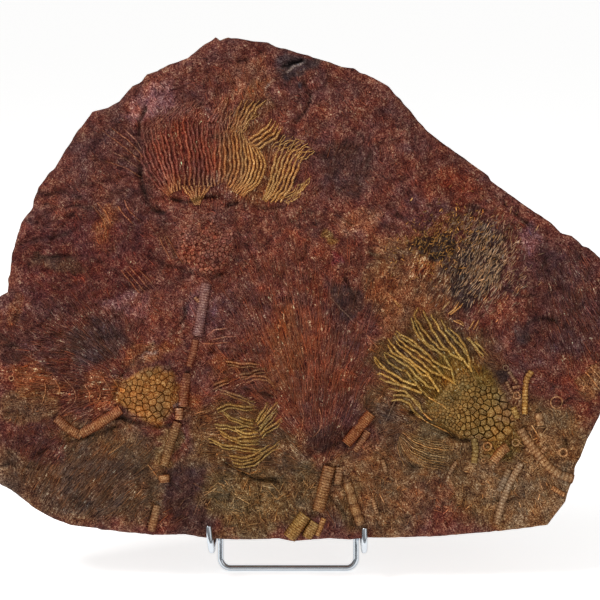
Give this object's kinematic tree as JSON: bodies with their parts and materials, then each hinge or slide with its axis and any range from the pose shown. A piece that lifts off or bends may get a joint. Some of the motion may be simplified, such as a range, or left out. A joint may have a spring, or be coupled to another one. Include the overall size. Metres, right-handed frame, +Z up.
{
  "type": "crinoid fossil plate on a rod display stand",
  "caption": "Irregular slab of red limestone with sea-lily crowns, cups and stems in relief, leaning back on a small chromed rod display stand with front hooks and a rear foot.",
  "frame": {"origin": "on the surface that the stand rests on, under the centre of the whole object's bounding box", "axes": "+Z up, +X across the slab to the viewer's right, +Y from the viewer towards the back of the stand"},
  "size_m": [0.4862, 0.1534, 0.4185],
  "materials": {
    "red_limestone": "matte red-brown limestone, naturally broken, with ochre fossils standing in relief",
    "loop_chrome": "bright chrome plate on round steel rod",
    "hook_chrome": "bright chrome plate on round steel rod"
  },
  "bodies": {
    "root": {"slab": "red_limestone", "back_rest_loop": "loop_chrome", "hook_and_foot_rod": "hook_chrome"}
  },
  "joints": []
}
